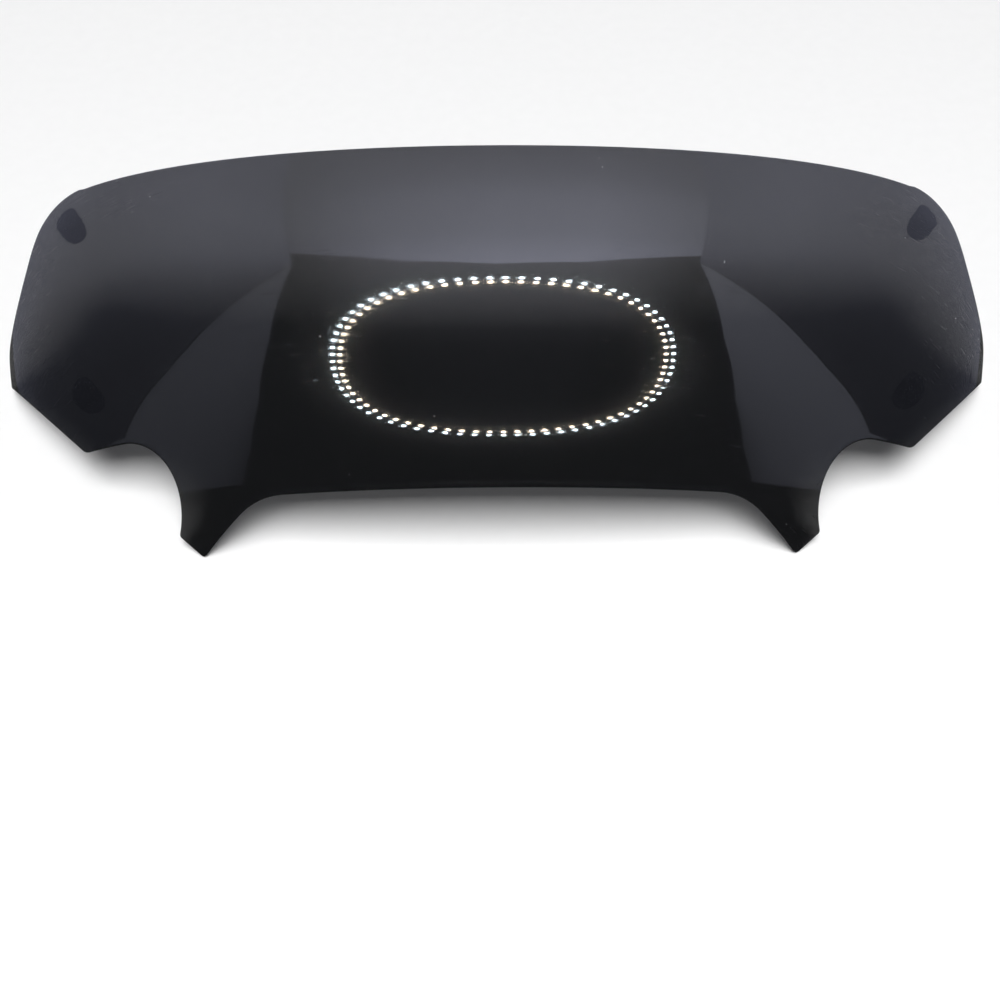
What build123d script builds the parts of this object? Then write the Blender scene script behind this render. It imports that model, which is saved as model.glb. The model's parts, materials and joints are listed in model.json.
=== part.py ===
from build123d import *
import os
from math import cos, pi, radians, sin, sqrt, tan

# Front visor of a VR headset: one wide, strongly curved shell of smoked polycarbonate,
# held on the headset by four small magnets in studs moulded on its inner face.
#
# The visor lies on a table, hollow side down: +X is across it, +Z is up, and the edge
# that is at the bottom when the headset is worn is at -Y. The origin is on the table,
# under the middle of the whole visor. All sizes are in millimetres.

os.makedirs("parts", exist_ok=True)

# ---- How the visor lies: on the tips of its prongs and the lower corners of its wings ----
lean = 23.84  # angle between the worn forward direction and straight up
rest_back = 24.52  # worn origin behind the middle of the visor
rest_height = 1.81  # worn origin above the table, so that the lowest points touch it

# ---- Outer skin ---------------------------------------------------------------------
half_width = 94.6
depth = 53.0  # from the widest line to the crest
section_radius = 65.0  # vertical section at the middle
fullness = 0.11  # how much the shoulders stand out from a plain ellipse
wall = 2.0
profile_steps = 32

# ---- Front outline, in the worn front view ------------------------------------------
top_middle = 15.3  # height of the top edge at the middle
top_rise = 1.7  # how much higher the top edge is at top_span
top_span = 80.0
bottom_height = -40.4  # the straight bottom edge
camera_across = 65.0  # centre of the round clearance for a front camera
camera_height = -40.0
camera_radius = 9.6
wing_tip_across = 73.1
wing_cut_angle = 41.6  # slope of the straight cut below each wing
wing_tip_radius = 2.2
wing_end_across = 94.1  # where the wings' lower corners are cut off straight
wing_end_radius = 3.0  # between that end and the cut below the wing
prong_outer_height = -44.8  # where the round clearance ends on the prong
prong_outer_radius = 0.6
prong_tip_across = 52.6
prong_tip_height = -48.3
prong_tip_radius = 0.9
prong_inner_slope = 35.0  # slope of the prong's inner edge
prong_root_radius = 14.0
beyond = 120.0  # further out than any part of the visor

# ---- Rear edge of the wings, in the worn side view ----------------------------------
rear_top_height = 18.0
rear_top_depth = 25.0
rear_knee_height = -2.2
rear_knee_depth = 22.8
rear_low_height = -12.1
rear_low_depth = 2.5
rear_knee_radius = 16.0
rear_corner_radius = 6.7  # between the top edge and the rear edge

# ---- Studs, magnets and adhesive ----------------------------------------------------
stud_radius = 2.1
stud_chamfer = 0.3
shoulder_radius = 2.3  # the thicker root, which ends in a narrow ledge square to the stud
stud_root = 6.0  # how far a stud's blank reaches past the inner skin before it is trimmed
studs = {  # across and height in the front view, whole length, and length up to the ledge
    "upper": (77.7, 12.0, 4.9, 1.8),
    "lower": (72.6, -20.6, 5.6, 2.6),
}
sides = {"left": -1, "right": 1}
pocket_radius = 1.55
pocket_depth = 3.2
magnet_radius = 1.5
magnet_length = 3.0
magnet_chamfer = 0.15
adhesive_thickness = 0.1

# ---- Planes of the worn visor -------------------------------------------------------
worn = Plane(
    origin=(0, rest_back, rest_height),
    x_dir=(1, 0, 0),
    z_dir=(0, -sin(radians(lean)), cos(radians(lean))),
)
axis_depth = section_radius - depth  # the skin's axis of revolution is this far behind
axis_origin = worn.origin - worn.z_dir * axis_depth
skin_axis = Axis(axis_origin, worn.x_dir)
profile_plane = Plane(axis_origin, x_dir=worn.x_dir, z_dir=worn.y_dir)
side_plane = Plane(worn.origin, x_dir=worn.y_dir, z_dir=worn.x_dir)

# ---- Lines that the two outlines share ----------------------------------------------
cut_slope = tan(radians(wing_cut_angle))
camera_top = camera_height + camera_radius
rear_slope = (rear_knee_depth - rear_low_depth) / (rear_knee_height - rear_low_height)
upper_rear_slope = (rear_top_depth - rear_knee_depth) / (rear_top_height - rear_knee_height)


def crown_height(across, inset=0.0):
    """Height of the skin's middle section over its widest line."""
    share = min(abs(across) / (half_width - inset), 1.0)
    return (depth - inset) * sqrt(1 - share**2) * (1 + fullness * share**2)


def skin_depth(across, height, inset=0.0):
    """Worn depth of the skin, or of a copy inset from it, at a point of the front view."""
    radius = axis_depth + crown_height(across, inset)
    return sqrt(radius**2 - height**2) - axis_depth


def crown_solid(inset=0.0):
    """Solid of revolution under the skin, inset from it all over."""
    turns = [pi * step / profile_steps for step in range(profile_steps + 1)]
    width = half_width - inset
    crest = [(-width * cos(turn), axis_depth + crown_height(width * cos(turn), inset)) for turn in turns]
    with BuildPart() as crown:
        with BuildSketch(profile_plane):
            with BuildLine():
                skin_line = Spline(*crest)
                Polyline(skin_line @ 1, (width, 0), (-width, 0), skin_line @ 0)
            make_face()
        revolve(axis=skin_axis)
    return crown.part


def nearest(corners, across, height):
    """The corner of an outline that is nearest to a point of its view."""
    return corners.sort_by_distance((across, height, 0))[0]


def front_outline():
    """Half of the visor's outline in the front view, mirrored into a whole face."""
    prong_slope = tan(radians(prong_inner_slope))
    cut_end = camera_top + (wing_end_across - wing_tip_across) * cut_slope
    prong_drop = camera_height - prong_outer_height
    prong_outer = camera_across - sqrt(camera_radius**2 - prong_drop**2)
    root_across = prong_tip_across - (bottom_height - prong_tip_height) / prong_slope
    top_end = top_middle + top_rise * (wing_end_across / top_span) ** 2
    with BuildSketch() as outline:
        with BuildLine():
            ThreePointArc(
                (0, top_middle),
                (wing_end_across / 2, top_middle + (top_end - top_middle) / 4),
                (wing_end_across, top_end),
            )
            Polyline(
                (wing_end_across, top_end),
                (wing_end_across, cut_end),
                (wing_tip_across, camera_top),
            )
            Line((wing_tip_across, camera_top), (camera_across, camera_top))
            RadiusArc(
                (camera_across, camera_top),
                (prong_outer, prong_outer_height),
                -camera_radius,
            )
            Polyline(
                (prong_outer, prong_outer_height),
                (prong_tip_across, prong_tip_height),
                (root_across, bottom_height),
                (0, bottom_height),
                (0, top_middle),
            )
        make_face()
        fillet(nearest(outline.vertices(), wing_end_across, cut_end), radius=wing_end_radius)
        fillet(nearest(outline.vertices(), wing_tip_across, camera_top), radius=wing_tip_radius)
        fillet(nearest(outline.vertices(), prong_outer, prong_outer_height), radius=prong_outer_radius)
        fillet(nearest(outline.vertices(), prong_tip_across, prong_tip_height), radius=prong_tip_radius)
        fillet(nearest(outline.vertices(), root_across, bottom_height), radius=prong_root_radius)
        mirror(about=Plane.YZ)
    return outline.sketch


def side_outline():
    """What the wings' rear edges leave of the visor in the side view, top edge to the right."""
    with BuildSketch() as outline:
        with BuildLine():
            Polyline(
                (-beyond, rear_low_depth + rear_slope * (-beyond - rear_low_height)),
                (rear_knee_height, rear_knee_depth),
                (beyond, rear_knee_depth + upper_rear_slope * (beyond - rear_knee_height)),
                (beyond, beyond),
                (-beyond, beyond),
                close=True,
            )
        make_face()
        fillet(nearest(outline.vertices(), rear_knee_height, rear_knee_depth), radius=rear_knee_radius)
    return outline.sketch


def top_rear_edges(solid):
    """The two edges where the top edge's face meets the wings' rear face."""
    places = [(side * top_span / 2, top_middle, rear_top_depth) for side in sides.values()]
    return [solid.edges().sort_by_distance(worn.from_local_coords(place))[0] for place in places]


def stud_end(side, across, height, length):
    """Plane on the free end of a stud, facing out of it, away from the shell."""
    end_depth = skin_depth(across, height, wall) - length
    end = worn.from_local_coords((side * across, height, end_depth))
    return Plane(end, x_dir=worn.x_dir, z_dir=-worn.z_dir)


stud_ends = {
    f"{row}_{side_name}": stud_end(side, *place[:3])
    for row, place in studs.items()
    for side_name, side in sides.items()
}

# ---- Visor shell, with its four studs and their blind pockets -----------------------
with BuildPart() as trim:
    with BuildSketch(worn):
        add(front_outline())
    extrude(amount=beyond, both=True)
    with BuildSketch(side_plane):
        add(side_outline())
    extrude(amount=beyond, both=True, mode=Mode.INTERSECT)
    fillet(top_rear_edges(trim), radius=rear_corner_radius)

with BuildPart() as block:
    add(crown_solid())
    add(trim.part, mode=Mode.INTERSECT)

with BuildPart() as stud_group:
    for name, end in stud_ends.items():
        _, _, length, pin_length = studs[name.split("_")[0]]
        with BuildSketch(end):
            Circle(stud_radius)
        extrude(amount=-(length + stud_root))
        rim = stud_group.edges().filter_by(GeomType.CIRCLE).sort_by_distance(end.origin)[0]
        chamfer(rim, length=stud_chamfer)
        with BuildSketch(end.offset(-pin_length)):
            Circle(shoulder_radius)
        extrude(amount=-(length + stud_root - pin_length))
    add(crown_solid(wall / 2), mode=Mode.INTERSECT)

with BuildPart() as shell:
    outer_skin = block.faces().filter_by(GeomType.REVOLUTION).sort_by(SortBy.AREA)[-1]
    thicken(outer_skin, amount=-wall)
    add(stud_group.part)
    for end in stud_ends.values():
        with BuildSketch(end):
            Circle(pocket_radius)
        extrude(amount=-pocket_depth, mode=Mode.SUBTRACT)
shell.part.label = "visor_shell"
export_step(shell.part, "parts/visor_shell.step")

# ---- Magnets and the adhesive under them --------------------------------------------
for name, end in stud_ends.items():
    with BuildPart() as adhesive:
        with BuildSketch(end.offset(-pocket_depth)):
            Circle(magnet_radius)
        extrude(amount=adhesive_thickness)
    adhesive.part.label = f"adhesive_{name}"
    export_step(adhesive.part, f"parts/adhesive_{name}.step")

    with BuildPart() as magnet:
        with BuildSketch(end.offset(adhesive_thickness - pocket_depth)):
            Circle(magnet_radius)
        extrude(amount=magnet_length)
        chamfer(magnet.edges(), length=magnet_chamfer)
    magnet.part.label = f"magnet_{name}"
    export_step(magnet.part, f"parts/magnet_{name}.step")
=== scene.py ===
import json
from math import asin, atan, cos, hypot, pi, radians, sin, sqrt, tan

import bmesh
import bpy
from mathutils import Euler, Matrix, Vector


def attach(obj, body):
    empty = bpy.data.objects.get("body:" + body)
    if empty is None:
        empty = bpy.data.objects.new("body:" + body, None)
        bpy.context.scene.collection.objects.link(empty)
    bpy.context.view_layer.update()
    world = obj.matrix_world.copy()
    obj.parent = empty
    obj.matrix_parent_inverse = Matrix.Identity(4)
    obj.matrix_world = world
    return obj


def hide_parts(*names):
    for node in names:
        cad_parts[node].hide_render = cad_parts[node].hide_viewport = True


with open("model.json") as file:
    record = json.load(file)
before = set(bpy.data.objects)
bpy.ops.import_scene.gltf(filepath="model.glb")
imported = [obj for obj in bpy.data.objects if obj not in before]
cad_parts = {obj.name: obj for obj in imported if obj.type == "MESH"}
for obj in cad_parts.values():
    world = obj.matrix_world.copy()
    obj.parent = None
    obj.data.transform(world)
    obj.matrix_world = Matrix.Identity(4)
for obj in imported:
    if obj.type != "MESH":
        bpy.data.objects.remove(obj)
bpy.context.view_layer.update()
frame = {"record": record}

# Front visor of a VR headset, lying on its prong tips and the lower corners of its wings.
# The shell is one injection-moulded sheet of smoked polycarbonate. Four studs on its inner
# face each hold a nickel-plated disc magnet, bonded in a blind pocket.
#
# Shapes are worked out in millimetres in the worn frame (x across, y up, z forward) and
# turned to the model's frame, in metres, at the end.

MM = 0.001

# ---- Sizes of the visor, in millimetres ----------------------------------------------
REST_BACK = 24.52  # the worn frame's origin, behind the middle of the visor
REST_HEIGHT = 1.81
HALF_WIDTH = 94.6
DEPTH = 53.0
SECTION_RADIUS = 65.0
FULLNESS = 0.11
WALL = 2.0
AXIS_DEPTH = SECTION_RADIUS - DEPTH

TOP_MIDDLE = 15.3
TOP_RISE = 1.7
TOP_SPAN = 80.0
BOTTOM = -40.4
CAMERA_ACROSS = 65.0
CAMERA_HEIGHT = -40.0
CAMERA_RADIUS = 9.6
CAMERA_TOP = CAMERA_HEIGHT + CAMERA_RADIUS
WING_TIP = 73.1
WING_TIP_RADIUS = 2.2
WING_CUT_SLOPE = tan(radians(41.6))
WING_END = 94.1
WING_END_RADIUS = 3.0
PRONG_OUTER_HEIGHT = -44.8
PRONG_OUTER_RADIUS = 0.6
PRONG_TIP = (52.6, -48.3)
PRONG_TIP_RADIUS = 0.9
PRONG_SLOPE = tan(radians(35.0))
PRONG_ROOT_RADIUS = 14.0

REAR_TOP = (18.0, 25.0)  # height and depth in the side view
REAR_KNEE = (-2.2, 22.8)
REAR_LOW = (-12.1, 2.5)
KNEE_RADIUS = 16.0
REAR_CORNER_RADIUS = 7.0

RIM_ROUND = 0.35  # the moulded rounding along both edges of the rim
CELL = 1.2  # spacing of the mesh lines on the skin
TOP_STEPS = 60  # points along half of the top edge
NOTCH_STEPS = 32  # points round each camera cut-out
REAR_STEP = 0.8  # longest gap between points of the rear edge
WING_STEP = 0.4
TRIM_STEP = 0.1  # of the finer rear edge that decides where the wing ends

STUD_RADIUS = 2.1
SHOULDER_RADIUS = 2.3
STUD_ROUND = 0.3
POCKET_RADIUS = 1.55
POCKET_DEPTH = 3.2
FLOOR_CHAMFER = 0.1  # round the pocket's floor
MOUTH_CHAMFER = 0.12  # round the pocket's mouth, with a soft start
MOUTH_EASE = 0.03
LEDGE_FILLET = 0.05
LEDGE_ROUND = 0.08
# Each stud's place across and up, its whole length, and its length down to the ledge.
STUDS = {"upper": (77.7, 12.0, 4.9, 1.8), "lower": (72.6, -20.6, 5.6, 2.6)}
SIDES = {"left": -1, "right": 1}
MAGNET_RADIUS = 1.5
MAGNET_LENGTH = 3.0
MAGNET_ROUND = 0.15
ADHESIVE = 0.1
BEAD_GAP = 0.01
BEAD_SLOPE = 0.03
ROUND_STEPS = 48

# ---- Looks and light -----------------------------------------------------------------
SMOKED_ALPHA = 0.8  # of each face: about a twenty-fifth of the light gets through both
SMOKED_IOR = 1.7  # a little over polycarbonate's 1.58, as alpha also dims the gloss
TOP_GLOW = 2.35
TOP_BASE = 0.55
FRONT_GLOW = 0.75
WALL_GLOW = {"left": 0.8, "right": 0.86}
WALL_TILT = 0.3
FLAP_GLOW = {"left": 0.5, "right": 0.84}
RING_GLOW = 90.0
RING_LAMPS = 72
LAMP_RADIUS = 0.0019
SOFT_POWER = 21.3
ROOM_GLOW = 0.03

# The studs' mounts point straight back out of the worn visor, which gives its lean.
back = Vector(frame["record"]["mounts"][0]["axis"])
LEAN = atan(back.y / -back.z)
WORN = (
    Matrix.Translation((0, REST_BACK * MM, REST_HEIGHT * MM))
    @ Matrix.Rotation(LEAN, 4, "X")
    @ Matrix.Scale(MM, 4)
)


# ---- The skin ------------------------------------------------------------------------
def crown_height(across, inset=0.0):
    """Height of the skin's middle section over its widest line."""
    share = min(abs(across) / (HALF_WIDTH - inset), 1.0)
    return (DEPTH - inset) * sqrt(1 - share**2) * (1 + FULLNESS * share**2)


def skin_point(across, height, inset=0.0):
    radius = AXIS_DEPTH + crown_height(across, inset)
    return Vector((across, height, sqrt(radius**2 - height**2) - AXIS_DEPTH))


def crown_slope(across):
    step = 1e-4
    inner = min(max(across, step - HALF_WIDTH), HALF_WIDTH - step)
    return (crown_height(inner + step) - crown_height(inner - step)) / (2 * step)


def skin_normal(across, height):
    radius = AXIS_DEPTH + crown_height(across)
    spoke = Vector((0, height / radius, sqrt(1 - (height / radius) ** 2)))
    return (spoke - Vector((crown_slope(across), 0, 0))).normalized()


def across_at(height, depth):
    """How far across the skin is, where its side view passes a height and depth."""
    wanted = hypot(height, depth + AXIS_DEPTH) - AXIS_DEPTH
    low, high = 0.0, HALF_WIDTH
    for _ in range(40):
        middle = (low + high) / 2
        low, high = (middle, high) if crown_height(middle) > wanted else (low, middle)
    return low


# The skin's middle section unrolled, so that mesh lines and roundings keep their size
# on the steep wings: GIRTH holds the way along the skin at each step across.
GIRTH_STEP = 0.05
GIRTH = [0.0]
while (len(GIRTH) + 1) * GIRTH_STEP < HALF_WIDTH:
    edge = len(GIRTH) * GIRTH_STEP
    GIRTH.append(GIRTH[-1] + hypot(GIRTH_STEP, crown_height(edge) - crown_height(edge - GIRTH_STEP)))


def to_girth(across):
    place = abs(across) / GIRTH_STEP
    index = min(int(place), len(GIRTH) - 2)
    way = GIRTH[index] + (GIRTH[index + 1] - GIRTH[index]) * (place - index)
    return way if across >= 0 else -way


def from_girth(way):
    low, high = 0, len(GIRTH) - 1
    while high - low > 1:
        middle = (low + high) // 2
        low, high = (middle, high) if GIRTH[middle] < abs(way) else (low, middle)
    across = (low + (abs(way) - GIRTH[low]) / (GIRTH[low + 1] - GIRTH[low])) * GIRTH_STEP
    return across if way >= 0 else -across


# ---- The outline ---------------------------------------------------------------------
def rounded(corners, steps=8):
    """A line through corners (x, y, radius), with an arc of that radius at each."""
    points = []
    for index, (x, y, radius) in enumerate(corners):
        if radius == 0:
            points.append(Vector((x, y)))
            continue
        corner = Vector((x, y))
        before = (Vector(corners[index - 1][:2]) - corner).normalized()
        after = (Vector(corners[index + 1][:2]) - corner).normalized()
        half = before.angle(after) / 2
        centre = corner + (before + after).normalized() * (radius / sin(half))
        start = corner + before * (radius / tan(half)) - centre
        end = corner + after * (radius / tan(half)) - centre
        points += [centre + start.slerp(end, step / steps) * radius for step in range(steps + 1)]
    return points


def rear_edge():
    """The wing's rear edge in the side view, from the top edge down past its low corner."""
    top_height = TOP_MIDDLE + TOP_RISE * (across_at(REAR_TOP[0], REAR_TOP[1]) / TOP_SPAN) ** 2
    top_slope = (REAR_TOP[1] - REAR_KNEE[1]) / (REAR_TOP[0] - REAR_KNEE[0])
    top_depth = REAR_KNEE[1] + top_slope * (top_height - REAR_KNEE[0])
    low_slope = (REAR_KNEE[1] - REAR_LOW[1]) / (REAR_KNEE[0] - REAR_LOW[0])
    below = REAR_LOW[0] - 2
    corners = [
        (top_height, DEPTH, 0),
        (top_height, top_depth, REAR_CORNER_RADIUS),
        (*REAR_KNEE, KNEE_RADIUS),
        (below, REAR_LOW[1] + low_slope * (below - REAR_LOW[0]), 0),
    ]
    return rounded(corners, 16)


def spaced(points, step):
    """The same line with points added, so that none are further apart than a step."""
    line = [points[0]]
    for point in points[1:]:
        count = max(1, round((point - line[-1]).length / step))
        start = line[-1]
        line += [start.lerp(point, (index + 1) / count) for index in range(count)]
    return line


def half_outline():
    """The right half of the front view's outline, from the top middle to the bottom middle."""
    rear = [Vector((across_at(*point), point.x)) for point in spaced(rear_edge()[1:], REAR_STEP)]
    top = []
    for step in range(TOP_STEPS):
        across = rear[0].x * step / TOP_STEPS
        top.append(Vector((across, TOP_MIDDLE + TOP_RISE * (across / TOP_SPAN) ** 2)))
    drop = CAMERA_HEIGHT - PRONG_OUTER_HEIGHT
    prong_outer = CAMERA_ACROSS - sqrt(CAMERA_RADIUS**2 - drop**2)
    root = PRONG_TIP[0] - (BOTTOM - PRONG_TIP[1]) / PRONG_SLOPE
    wing = rounded(
        [
            (WING_END, 0, 0),
            (WING_END, CAMERA_TOP + (WING_END - WING_TIP) * WING_CUT_SLOPE, WING_END_RADIUS),
            (WING_TIP, CAMERA_TOP, WING_TIP_RADIUS),
            (CAMERA_ACROSS, CAMERA_TOP, 0),
        ]
    )
    sweep = pi / 2 + asin(drop / CAMERA_RADIUS)
    notch = [
        Vector((CAMERA_ACROSS, CAMERA_HEIGHT))
        + CAMERA_RADIUS * Vector((-sin(sweep * step / NOTCH_STEPS), cos(sweep * step / NOTCH_STEPS)))
        for step in range(1, NOTCH_STEPS)
    ]
    prong = rounded(
        [
            (*notch[-1], 0),
            (prong_outer, PRONG_OUTER_HEIGHT, PRONG_OUTER_RADIUS),
            (*PRONG_TIP, PRONG_TIP_RADIUS),
            (root, BOTTOM, PRONG_ROOT_RADIUS),
            (0, BOTTOM, 0),
        ]
    )
    rear_line = spaced(rear_edge()[1:], TRIM_STEP)
    wing = [point for point in spaced(wing, WING_STEP) if in_front(point, rear_line)]
    rear = [point for point in rear if point.y > wing[0].y]
    return top + rear + wing + notch + prong[1:]


def in_front(point, rear_line):
    """Whether a point of the front view is on the visor's side of the wings' rear edge."""
    if abs(point.x) >= HALF_WIDTH:
        return False
    side = skin_point(*point)
    nearest = min(rear_line, key=lambda place: abs(place.x - side.y))
    return side.z > nearest.y


# ---- Mesh work -----------------------------------------------------------------------
def finish_mesh(name, bm):
    """Turns a mesh from worn millimetres to the model's frame and makes it an object."""
    bmesh.ops.transform(bm, matrix=WORN, verts=bm.verts)
    mesh = bpy.data.meshes.new(name)
    bm.to_mesh(mesh)
    bm.free()
    mesh.polygons.foreach_set("use_smooth", [True] * len(mesh.polygons))
    piece = bpy.data.objects.new(name, mesh)
    bpy.context.scene.collection.objects.link(piece)
    return piece


def outlined(corners):
    """A new mesh of one flat face, filled inside its outline."""
    bm = bmesh.new()
    verts = [bm.verts.new(corner) for corner in corners]
    edges = [bm.edges.new(pair) for pair in zip(verts, verts[1:] + verts[:1])]
    bmesh.ops.contextual_create(bm, geom=edges)
    return bm


def flat_outline():
    """The whole outline as one flat face, unrolled along the skin."""
    right = [Vector((to_girth(point.x), point.y, 0)) for point in half_outline()]
    left = [Vector((-point.x, point.y, 0)) for point in reversed(right[1:-1])]
    bm = outlined(right + left)
    bmesh.ops.remove_doubles(bm, verts=bm.verts, dist=0.01)
    return bm


def rim_loops(bm):
    """Insets three loops along the rim and notes how far the rounding drops each of them."""
    drop = bm.verts.layers.float.new("drop")
    for vert in bm.verts:
        vert[drop] = RIM_ROUND
    turned = [radians(angle) for angle in (90, 60, 30, 0)]
    for before, now in zip(turned, turned[1:]):
        middle = max(bm.faces, key=lambda face: face.calc_area())
        bmesh.ops.inset_individual(bm, faces=[middle], thickness=RIM_ROUND * (sin(before) - sin(now)))
        middle = max(bm.faces, key=lambda face: face.calc_area())
        for vert in middle.verts:
            vert[drop] = RIM_ROUND * (1 - cos(now))
    return drop


def cut_grid(bm):
    """Cuts the flat outline along evenly spaced lines both ways."""
    for axis in (0, 1):
        low = min(vert.co[axis] for vert in bm.verts)
        high = max(vert.co[axis] for vert in bm.verts)
        first = int(low / CELL)
        for index in range(first, int(high / CELL) + 1):
            place = Vector((0, 0, 0))
            place[axis] = (index + 0.5) * CELL
            normal = Vector((0, 0, 0))
            normal[axis] = 1
            geometry = bm.verts[:] + bm.edges[:] + bm.faces[:]
            bmesh.ops.bisect_plane(bm, geom=geometry, plane_co=place, plane_no=normal, dist=0.01)


def make_shell():
    """The moulded shell: the outline laid on the skin, with a square wall and rounded rim."""
    bm = flat_outline()
    drop = rim_loops(bm)
    cut_grid(bm)
    bm.normal_update()
    outer = bm.verts[:]
    place = {vert: (from_girth(vert.co.x), vert.co.y, vert[drop]) for vert in outer}
    skin = bmesh.ops.extrude_face_region(bm, geom=bm.faces[:], use_keep_orig=True)["geom"]
    inner = [element for element in skin if isinstance(element, bmesh.types.BMVert)]
    for vert in inner:
        across, height, sunk = from_girth(vert.co.x), vert.co.y, vert[drop]
        vert.co = skin_point(across, height) - skin_normal(across, height) * (WALL - sunk)
    for vert, (across, height, sunk) in place.items():
        vert.co = skin_point(across, height) - skin_normal(across, height) * sunk
    bmesh.ops.recalc_face_normals(bm, faces=bm.faces)
    return finish_mesh("visor_shell_moulding", bm)


def lathe(profile, place):
    """A round piece spun about its own axis; the profile is (radius, way out of the stud)."""
    bm = bmesh.new()
    verts = [bm.verts.new((radius, 0, -way)) for radius, way in profile]
    edges = [bm.edges.new(pair) for pair in zip(verts, verts[1:])]
    bmesh.ops.spin(
        bm,
        geom=verts + edges,
        cent=(0, 0, 0),
        axis=(0, 0, 1),
        angle=2 * pi,
        steps=ROUND_STEPS,
        use_merge=True,
    )
    bmesh.ops.remove_doubles(bm, verts=bm.verts, dist=1e-4)
    bmesh.ops.recalc_face_normals(bm, faces=bm.faces)
    bmesh.ops.translate(bm, vec=place, verts=bm.verts)
    return bm


def quarter(radius, way, size, turn, steps=4):
    """A rounded corner for a lathe profile: its arc runs from one turn to the next quarter."""
    angles = [radians(turn + 90 * step / steps) for step in range(steps + 1)]
    return [(radius + size * cos(angle), way + size * sin(angle)) for angle in angles]


def stud_end(side, across, height, length):
    end = skin_point(across, height, WALL)
    return Vector((side * end.x, end.y, end.z - length))


def make_stud(name, side, across, height, length, pin_length):
    """One stud: pocket, rounded free end, pin, narrow ledge, and a root inside the wall."""
    root = -(length + WALL)
    profile = [(0, -POCKET_DEPTH), (POCKET_RADIUS - FLOOR_CHAMFER, -POCKET_DEPTH)]
    profile += [(POCKET_RADIUS, -POCKET_DEPTH + FLOOR_CHAMFER), (POCKET_RADIUS, -MOUTH_CHAMFER)]
    profile += [(POCKET_RADIUS + MOUTH_EASE, -MOUTH_EASE), (POCKET_RADIUS + MOUTH_CHAMFER, 0)]
    profile += list(reversed(quarter(STUD_RADIUS - STUD_ROUND, -STUD_ROUND, STUD_ROUND, 0)))
    profile += [(STUD_RADIUS, -pin_length + LEDGE_FILLET), (STUD_RADIUS + LEDGE_FILLET, -pin_length)]
    shoulder = quarter(SHOULDER_RADIUS - LEDGE_ROUND, -pin_length - LEDGE_ROUND, LEDGE_ROUND, 0)
    profile += list(reversed(shoulder))
    profile += [(SHOULDER_RADIUS, root), (SHOULDER_RADIUS / 2, root), (0, root)]
    end = stud_end(side, across, height, length)
    bm = lathe(profile, end)
    for vert in bm.verts:
        if vert.co.z > end.z + length:
            vert.co.z = skin_point(vert.co.x, vert.co.y, WALL / 2).z
    return finish_mesh(name, bm)


def make_magnet(name, end):
    """A disc magnet with its tumbled edges, standing on the adhesive."""
    floor = ADHESIVE - POCKET_DEPTH
    top = floor + MAGNET_LENGTH
    inner = MAGNET_RADIUS - MAGNET_ROUND
    profile = [(0, floor)] + quarter(inner, floor + MAGNET_ROUND, MAGNET_ROUND, -90)
    profile += quarter(inner, top - MAGNET_ROUND, MAGNET_ROUND, 0) + [(0, top)]
    return finish_mesh(name, lathe(profile, end))


def make_adhesive(name, end):
    """The cured disc of adhesive, with the low bead that squeezed up round the magnet."""
    floor = -POCKET_DEPTH
    bead = MAGNET_RADIUS - BEAD_GAP
    profile = [(0, floor), (bead, floor), (bead, floor + 0.5 * ADHESIVE)]
    profile += [(bead - BEAD_SLOPE, floor + ADHESIVE), (0, floor + ADHESIVE)]
    return finish_mesh(name, lathe(profile, end))


# ---- Materials -----------------------------------------------------------------------
def linear(hex_colour):
    """An sRGB hex colour as linear red, green, blue and alpha."""
    channels = [int(hex_colour[index : index + 2], 16) / 255 for index in (1, 3, 5)]
    return [c / 12.92 if c <= 0.04045 else ((c + 0.055) / 1.055) ** 2.4 for c in channels] + [1.0]


def add(tree, kind, inputs=None, **settings):
    """Adds a node with its settings; each input is given a value, or a socket to link."""
    made = tree.nodes.new(kind)
    for name, value in settings.items():
        setattr(made, name, value)
    for socket, value in (inputs or {}).items():
        if isinstance(value, bpy.types.NodeSocket):
            tree.links.new(value, made.inputs[socket])
        else:
            made.inputs[socket].default_value = value
    return made


def new_material(name):
    material = bpy.data.materials.new(name)
    material.use_nodes = True
    tree = material.node_tree
    where = add(tree, "ShaderNodeTexCoord").outputs["Object"]
    return material, tree, tree.nodes["Principled BSDF"], where


def noise(tree, where, size, detail=3.0):
    """Noise with features of about this size in millimetres."""
    inputs = {"Vector": where, "Scale": 1 / (size * MM), "Detail": detail}
    return add(tree, "ShaderNodeTexNoise", inputs).outputs["Fac"]


def graded(tree, factor, low, high, start, end):
    """Carries a factor from one range of values to another, clamped at both ends."""
    inputs = {"Value": factor, "From Min": low, "From Max": high, "To Min": start, "To Max": end}
    return add(tree, "ShaderNodeMapRange", inputs).outputs["Result"]


def blended(tree, factor, first, second):
    """A colour between two hex colours."""
    inputs = {0: factor, 6: linear(first), 7: linear(second)}
    return add(tree, "ShaderNodeMix", inputs, data_type="RGBA").outputs[2]


def sum_of(tree, first, second, operation="ADD"):
    return add(tree, "ShaderNodeMath", {0: first, 1: second}, operation=operation).outputs[0]


def hairlines(tree, where, turn):
    """Short hairline scuffs, all running one way."""
    inputs = {"Vector": where, "Rotation": (0.0, 0.0, radians(turn)), "Scale": (1.0, 22.0, 1.0)}
    along = add(tree, "ShaderNodeMapping", inputs).outputs["Vector"]
    return graded(tree, noise(tree, along, 5, 2.0), 0.67, 0.71, 0.0, 1.0)


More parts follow.
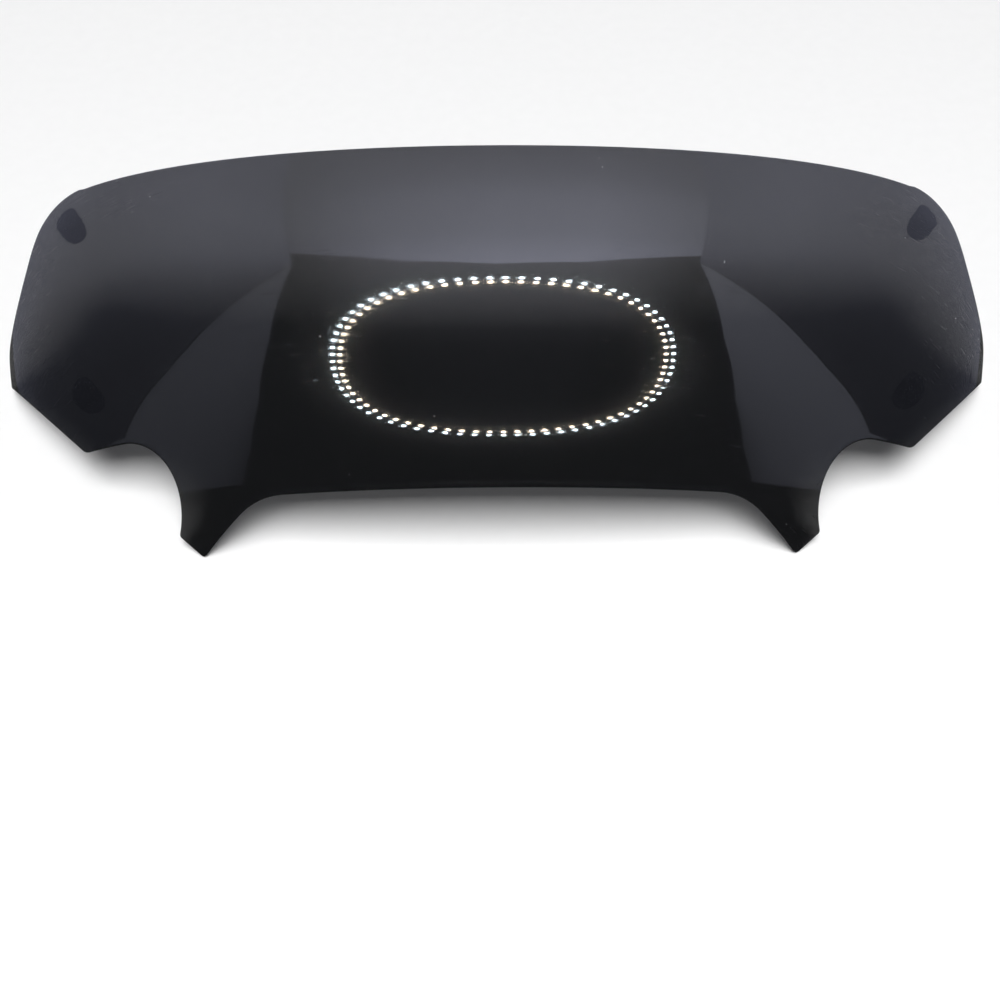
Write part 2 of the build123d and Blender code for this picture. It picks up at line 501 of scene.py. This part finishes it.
def smoked_polycarbonate():
    """Smoked polycarbonate, moulded against polished steel and handled: a dark mirror that
    lets a little light through, with finger haze, hairline scuffs and specks of dust."""
    material, tree, shader, where = new_material("smoked_polycarbonate_polished")
    shader.inputs["IOR"].default_value = SMOKED_IOR
    shader.inputs["Alpha"].default_value = SMOKED_ALPHA
    shader.inputs["Coat Weight"].default_value = 0.15
    shader.inputs["Coat Roughness"].default_value = 0.2
    haze = graded(tree, noise(tree, where, 26, 5.0), 0.42, 0.72, 0.022, 0.06)
    grain = graded(tree, noise(tree, where, 1.1), 0.35, 0.75, 0.0, 0.012)
    cells = add(tree, "ShaderNodeTexVoronoi", {"Vector": where, "Scale": 1 / (2.4 * MM)})
    speck = graded(tree, cells.outputs["Distance"], 0.03, 0.07, 1.0, 0.0)
    patch = graded(tree, noise(tree, where, 17, 2.0), 0.60, 0.70, 0.0, 1.0)
    dust = sum_of(tree, speck, patch, "MULTIPLY")
    scuffs = sum_of(tree, hairlines(tree, where, 78), hairlines(tree, where, 22), "MAXIMUM")
    handled = graded(tree, noise(tree, where, 34, 2.0), 0.44, 0.56, 0.0, 0.32)
    marks = sum_of(tree, sum_of(tree, scuffs, handled, "MULTIPLY"), dust, "MAXIMUM")
    rough = sum_of(tree, sum_of(tree, haze, grain), marks, "MAXIMUM")
    tree.links.new(blended(tree, dust, "#0b0c0e", "#8d8f92"), shader.inputs["Base Color"])
    tree.links.new(rough, shader.inputs["Roughness"])
    return material


def thick_polycarbonate():
    """The same plastic where it is thick: the studs let no light through and look black,
    with the fine texture of a turned core pin."""
    material, tree, shader, where = new_material("smoked_polycarbonate_thick")
    shader.inputs["IOR"].default_value = 1.58
    texture = noise(tree, where, 0.8, 4.0)
    tree.links.new(blended(tree, texture, "#070708", "#101012"), shader.inputs["Base Color"])
    tree.links.new(graded(tree, texture, 0.3, 0.7, 0.16, 0.3), shader.inputs["Roughness"])
    return material


def nickel_plate():
    """Bright nickel over a neodymium magnet: warm silver, tumbled to a soft satin."""
    material, tree, shader, where = new_material("nickel_plate_tumbled")
    shader.inputs["Metallic"].default_value = 1.0
    grit = noise(tree, where, 0.2, 4.0)
    wear = graded(tree, noise(tree, where, 1.1), 0.45, 0.65, 0.0, 1.0)
    bump = add(tree, "ShaderNodeBump", {"Strength": 0.15, "Distance": 0.02 * MM, "Height": grit})
    tree.links.new(blended(tree, wear, "#b9b6ae", "#8f8c86"), shader.inputs["Base Color"])
    tree.links.new(graded(tree, grit, 0.3, 0.7, 0.18, 0.36), shader.inputs["Roughness"])
    tree.links.new(bump.outputs["Normal"], shader.inputs["Normal"])
    return material


def cured_epoxy():
    """Dark structural epoxy: a dull, faintly lumpy bead that takes little light."""
    material, tree, shader, where = new_material("epoxy_cured_dark")
    lumps = noise(tree, where, 0.4)
    bump = add(tree, "ShaderNodeBump", {"Strength": 0.4, "Distance": 0.05 * MM, "Height": lumps})
    tree.links.new(blended(tree, lumps, "#242322", "#3a3835"), shader.inputs["Base Color"])
    tree.links.new(graded(tree, lumps, 0.3, 0.7, 0.42, 0.6), shader.inputs["Roughness"])
    tree.links.new(bump.outputs["Normal"], shader.inputs["Normal"])
    return material


# ---- The visor -----------------------------------------------------------------------
def add_piece(piece, material, slot, *replaced):
    piece.data.materials.append(material)
    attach(piece, "root")
    if replaced:
        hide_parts(*replaced)


smoked = smoked_polycarbonate()
thick = thick_polycarbonate()
nickel = nickel_plate()
epoxy = cured_epoxy()

add_piece(make_shell(), smoked, "smoked_shell", "visor_shell")
for row, (across, height, length, pin_length) in STUDS.items():
    for side_name, side in SIDES.items():
        name = f"{row}_{side_name}"
        end = stud_end(side, across, height, length)
        stud = make_stud(f"stud_{name}", side, across, height, length, pin_length)
        add_piece(stud, thick, "smoked_shell", "visor_shell")
        add_piece(make_magnet(f"disc_magnet_{name}", end), nickel, "magnet", f"magnet_{name}")
        add_piece(make_adhesive(f"adhesive_bead_{name}", end), epoxy, "adhesive", f"adhesive_{name}")


# ---- Studio --------------------------------------------------------------------------
def stage_mesh(name, bm, material):
    mesh = bpy.data.meshes.new(name)
    bm.to_mesh(mesh)
    bm.free()
    mesh.materials.append(material)
    thing = bpy.data.objects.new(name, mesh)
    bpy.context.scene.collection.objects.link(thing)
    return thing


def glowing(name, tint, strength, base=0.0, tilt=0.0, **grades):
    """A glowing material. Its strength over a base is graded along axes X, Y or Z by stops
    of (place in metres, share); tilt shears the Y grade with height."""
    material, tree, shader, where = new_material(name)
    tree.nodes.remove(shader)
    parts = add(tree, "ShaderNodeSeparateXYZ", {"Vector": where})
    places = {axis: parts.outputs[axis] for axis in "XYZ"}
    places["Y"] = sum_of(tree, places["Y"], sum_of(tree, places["Z"], tilt, "MULTIPLY"))
    level = strength
    for axis, stops in grades.items():
        low, high = stops[0][0], stops[-1][0]
        grade = add(tree, "ShaderNodeValToRGB", {0: graded(tree, places[axis], low, high, 0.0, 1.0)})
        elements = grade.color_ramp.elements
        for index, (stop, share) in enumerate(stops):
            element = elements[index] if index < 2 else elements.new(1.0)
            element.position = (stop - low) / (high - low)
            element.color = (share, share, share, 1.0)
        level = sum_of(tree, grade.outputs["Color"], level, "MULTIPLY")
    level = sum_of(tree, base, level)
    glow = add(tree, "ShaderNodeEmission", {"Color": linear(tint), "Strength": level})
    tree.links.new(glow.outputs[0], tree.nodes["Material Output"].inputs["Surface"])
    return material


def panel(name, corners, material):
    """One flat panel of the light tent, seen only in the visor's reflections."""
    made = stage_mesh(name, outlined(corners), material)
    made.visible_camera = False
    made.visible_diffuse = False
    made.visible_shadow = False


# Camera: a 50.7 mm lens, looking down at the visor from in front of its lower edge.
LENS = 50.672
SENSOR_WIDTH = 36.0
EYE_PLACE = (-0.002974, -0.169082, 0.206373)
EYE_TURN = (36.7787, -0.3115, -0.6927)  # degrees
eye = bpy.data.objects.new("camera", bpy.data.cameras.new("camera"))
eye.data.lens = LENS
eye.data.sensor_width = SENSOR_WIDTH
eye.data.clip_start = 0.01
eye.location = EYE_PLACE
eye.rotation_euler = Euler([radians(angle) for angle in EYE_TURN], "XYZ")
bpy.context.scene.collection.objects.link(eye)
bpy.context.scene.camera = eye

# Floor: a pale sheet, kept out of the visor's reflections so that they stay dark.
FLOOR_REACH = 4
paper, tree, shader, where = new_material("pale_paper")
fibre = noise(tree, where, 3, 4.0)
tree.links.new(blended(tree, fibre, "#f2f2f2", "#f6f6f6"), shader.inputs["Base Color"])
shader.inputs["Roughness"].default_value = 0.9
bm = bmesh.new()
bmesh.ops.create_grid(bm, x_segments=1, y_segments=1, size=FLOOR_REACH)
floor = stage_mesh("floor", bm, paper)
floor.visible_glossy = False

# Light tent: an overhead panel, whose front edge ends the bright band on the visor; a dimmer
# glow in front of it; and on each side a wall with a flap folded forward to the opening.
TENT_TOP = 0.47
TENT_SIDE = 0.25
TENT_LOW = -0.125
TENT_BACK = 0.9
TENT_FRONT = -1.3
FOLD_GAP = 0.002
# Each grade's stops: a place in metres and the share of the panel's glow there.
top_depth = [
    (-0.1, 1.0), (-0.078, 0.88), (-0.01, 0.56), (0.088, 0.44),
    (0.16, 0.24), (0.245, 0.12), (0.9, 0.0),
]
top_across = [(-0.25, 0.05), (-0.11, 0.68), (0.0, 0.98), (0.11, 1.03), (0.25, 0.5)]
front_depth = [
    (TENT_FRONT, 0.08), (-0.5, 0.1), (-0.37, 0.13), (-0.3, 0.24),
    (-0.25, 0.42), (-0.2, 0.6), (-0.1, 0.95),
]
front_across = [
    (-0.25, 0.05), (-0.21, 0.22), (-0.115, 0.85), (0.0, 1.0),
    (0.115, 0.92), (0.21, 0.3), (0.25, 0.08),
]
wall_depth = [
    (-0.13, 0.26), (-0.04, 0.26), (0.0, 0.33), (0.04, 0.5),
    (0.09, 0.86), (0.19, 1.0), (0.34, 0.88),
]
wall_height = [
    (-0.15, 0.26), (-0.09, 0.34), (-0.04, 0.42), (0.0, 0.48),
    (0.11, 0.62), (0.19, 0.84), (0.27, 1.0),
]
flap_depth = [(-0.34, 0.33), (-0.315, 0.48), (-0.28, 0.7), (-0.2, 0.9), (-0.12, 1.0)]
flap_height = [
    (-0.15, 0.2), (-0.1, 0.34), (0.0, 0.62), (0.1, 0.75),
    (0.2, 0.88), (0.3, 1.0), (0.47, 1.2),
]

top_edge = [(-TENT_SIDE, -0.035), (-0.1, -0.085), (0.0, -0.098), (0.1, -0.09), (TENT_SIDE, -0.05)]
back = [(TENT_SIDE, TENT_BACK), (-TENT_SIDE, TENT_BACK)]
front = [(TENT_SIDE, TENT_FRONT), (-TENT_SIDE, TENT_FRONT)]
top_glow = glowing("tent_top", "#e3e6ff", TOP_GLOW, TOP_BASE, X=top_across, Y=top_depth)
front_glow = glowing("tent_front", "#eef0ff", FRONT_GLOW, X=front_across, Y=front_depth)
panel("tent_top", [(x, y, TENT_TOP) for x, y in top_edge + back], top_glow)
panel("tent_front", [(x, y, TENT_TOP) for x, y in top_edge + front], front_glow)
rear = [(-0.1, TENT_LOW), (TENT_BACK, TENT_LOW), (TENT_BACK, TENT_TOP)]
fold = [
    (-0.068, TENT_TOP), (-0.086, 0.372), (-0.11, 0.241), (-0.12, 0.177), (-0.123, 0.128), (-0.114, 0.0),
]
opening = [
    (-0.108, -0.058), (-0.19, -0.058), (-0.325, -0.008), (-0.325, 0.08), (-0.292, 0.19), (-0.215, 0.316),
]
for side_name, side in SIDES.items():
    wall, flap = f"tent_wall_{side_name}", f"tent_flap_{side_name}"
    glow = glowing(wall, "#dde1ff", WALL_GLOW[side_name], tilt=WALL_TILT, Y=wall_depth, Z=wall_height)
    panel(wall, [(side * TENT_SIDE, y, z) for y, z in fold + rear], glow)
    glow = glowing(flap, "#e6eaff", FLAP_GLOW[side_name], Y=flap_depth, Z=flap_height)
    panel(flap, [(side * TENT_SIDE, y - FOLD_GAP, z) for y, z in fold + opening], glow)

# Ring lamp near the camera: a slightly squared ring with two rows of small lamps, the
# outer row cooler. Its place is across and up from the camera's axis.
RING_ROWS = [(0.128, "#dff3ff"), (0.1213, "#ffe9cc")]
RING_PLACE = (0.0088, -0.0086)
RING_SQUARENESS = 0.03
LAMP_SIDES = 12
for row, (radius, tint) in enumerate(RING_ROWS):
    bm = bmesh.new()
    for index in range(RING_LAMPS):
        turn = 2 * pi * index / RING_LAMPS
        reach = radius * (1 - RING_SQUARENESS * cos(4 * turn))
        lamp = bmesh.ops.create_circle(bm, cap_ends=True, segments=LAMP_SIDES, radius=LAMP_RADIUS)
        place = (RING_PLACE[0] + reach * cos(turn), RING_PLACE[1] + reach * sin(turn), 0)
        bmesh.ops.translate(bm, verts=lamp["verts"], vec=place)
    bmesh.ops.transform(bm, verts=bm.verts, matrix=eye.matrix_basis)
    ring = stage_mesh(f"ring_lamp_{row}", bm, glowing(f"ring_lamp_{row}", tint, RING_GLOW))
    ring.visible_camera = False
    ring.visible_diffuse = False

# Soft overhead light for the floor, tilted towards the visor and kept out of its reflections.
SOFT_SIZE = 0.6
SOFT_PLACE = (0, -0.48, 1.2)
SOFT_TILT = 21.8  # degrees
soft = bpy.data.objects.new("soft_light", bpy.data.lights.new("soft_light", "AREA"))
soft.data.shape = "SQUARE"
soft.data.size = SOFT_SIZE
soft.data.energy = SOFT_POWER
soft.location = SOFT_PLACE
soft.rotation_euler = (radians(SOFT_TILT), 0, 0)
soft.visible_glossy = False
bpy.context.scene.collection.objects.link(soft)

world = bpy.data.worlds.new("dim_room")
bpy.context.scene.world = world
world.use_nodes = True
world.node_tree.nodes["Background"].inputs["Color"].default_value = linear("#ffffff")
world.node_tree.nodes["Background"].inputs["Strength"].default_value = ROOM_GLOW
bpy.context.scene.view_settings.view_transform = "Standard"
